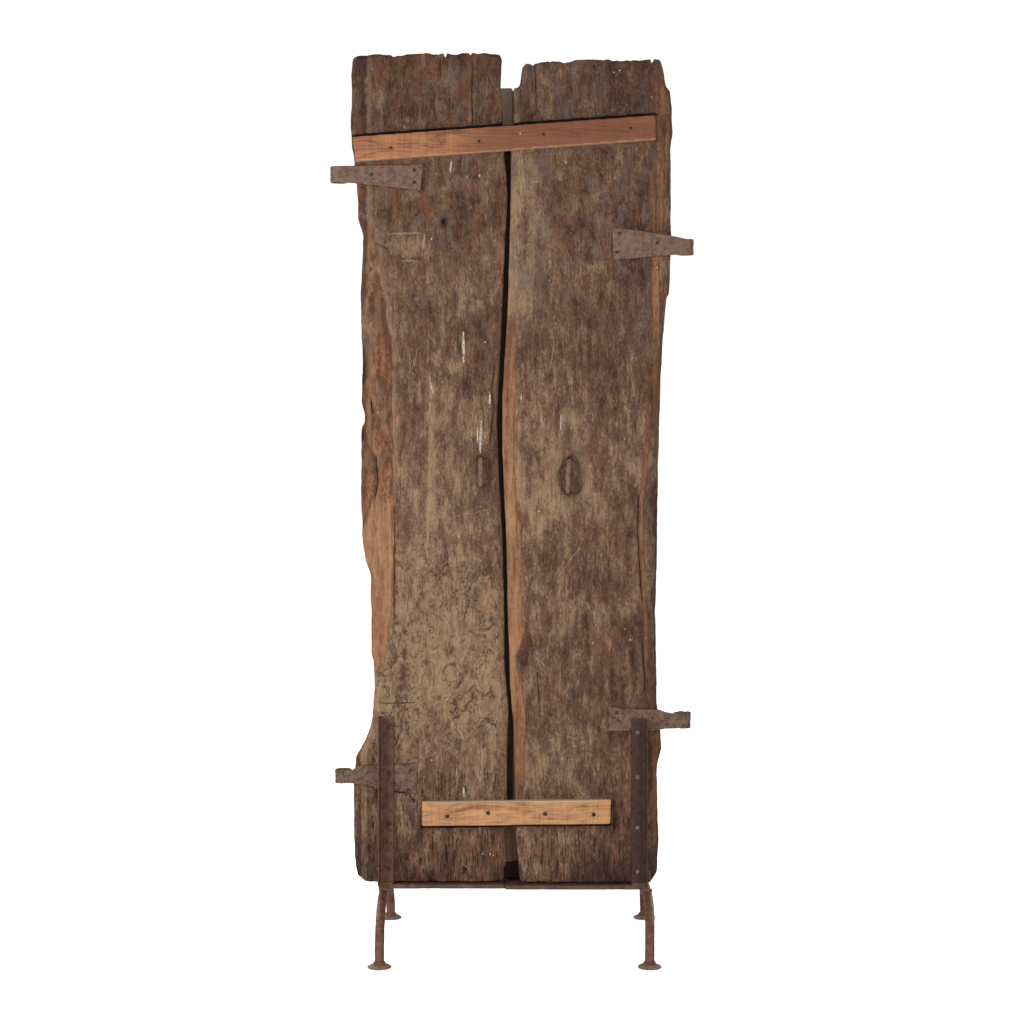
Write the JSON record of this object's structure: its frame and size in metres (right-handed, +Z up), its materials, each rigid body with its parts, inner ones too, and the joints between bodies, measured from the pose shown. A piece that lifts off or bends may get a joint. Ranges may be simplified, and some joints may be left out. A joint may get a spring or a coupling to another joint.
{
  "type": "weathered wooden door",
  "caption": "Old door panel of thick hewn planks held by nailed battens, with iron strap hinges, pull staples and a bar-legged iron stand.",
  "frame": {"origin": "on the floor, at the middle of the object's width and depth", "axes": "+Z up, the door's front faces -Y, +X to the right seen from the front"},
  "size_m": [0.7536, 0.449, 1.843],
  "materials": {
    "plank_wood": "bare weathered hardwood with traces of old dark paint",
    "strip_wood": "grey weathered wood",
    "red_batten_wood": "reddish planed wood",
    "pale_batten_wood": "pale planed wood",
    "forged_iron": "pitted forged iron with dull brown rust",
    "stand_iron": "rolled iron with an even brown rust skin",
    "fastener_iron": "dark rusted nail iron"
  },
  "bodies": {
    "root": {"left_plank": "plank_wood", "right_plank": "plank_wood", "meeting_strip": "strip_wood", "upper_batten": "red_batten_wood", "lower_batten": "pale_batten_wood", "strap_hinge_left_upper": "forged_iron", "strap_hinge_right_upper": "forged_iron", "strap_hinge_left_lower": "forged_iron", "strap_hinge_right_lower": "forged_iron", "staple_left": "forged_iron", "staple_right": "forged_iron", "upper_batten_nail_1": "fastener_iron", "upper_batten_nail_2": "fastener_iron", "upper_batten_nail_3": "fastener_iron", "upper_batten_nail_4": "fastener_iron", "lower_batten_screw_1": "fastener_iron", "lower_batten_screw_2": "fastener_iron", "lower_batten_screw_3": "fastener_iron", "lower_batten_screw_4": "fastener_iron", "strap_nail_left_upper_1": "fastener_iron", "strap_nail_left_upper_2": "fastener_iron", "strap_nail_left_upper_3": "fastener_iron", "strap_nail_right_upper_1": "fastener_iron", "strap_nail_right_upper_2": "fastener_iron", "strap_nail_right_upper_3": "fastener_iron", "strap_nail_left_lower_1": "fastener_iron", "strap_nail_left_lower_2": "fastener_iron", "strap_nail_right_lower_1": "fastener_iron", "left_upright_screw_1": "fastener_iron", "left_upright_screw_2": "fastener_iron", "left_upright_screw_3": "fastener_iron", "left_upright_screw_4": "fastener_iron", "right_upright_screw_1": "fastener_iron", "right_upright_screw_2": "fastener_iron", "right_upright_screw_3": "fastener_iron", "right_upright_screw_4": "fastener_iron", "meeting_strip_nail_1": "fastener_iron", "meeting_strip_nail_2": "fastener_iron", "meeting_strip_nail_3": "fastener_iron", "meeting_strip_nail_4": "fastener_iron", "left_upright": "stand_iron", "right_upright": "stand_iron", "left_rail": "stand_iron", "right_rail": "stand_iron", "rail_splice_plate": "stand_iron", "rear_upstand": "stand_iron", "left_leg_arch": "stand_iron", "right_leg_arch": "stand_iron", "foot_front_left": "stand_iron", "foot_back_left": "stand_iron", "foot_front_right": "stand_iron", "foot_back_right": "stand_iron"}
  },
  "joints": []
}
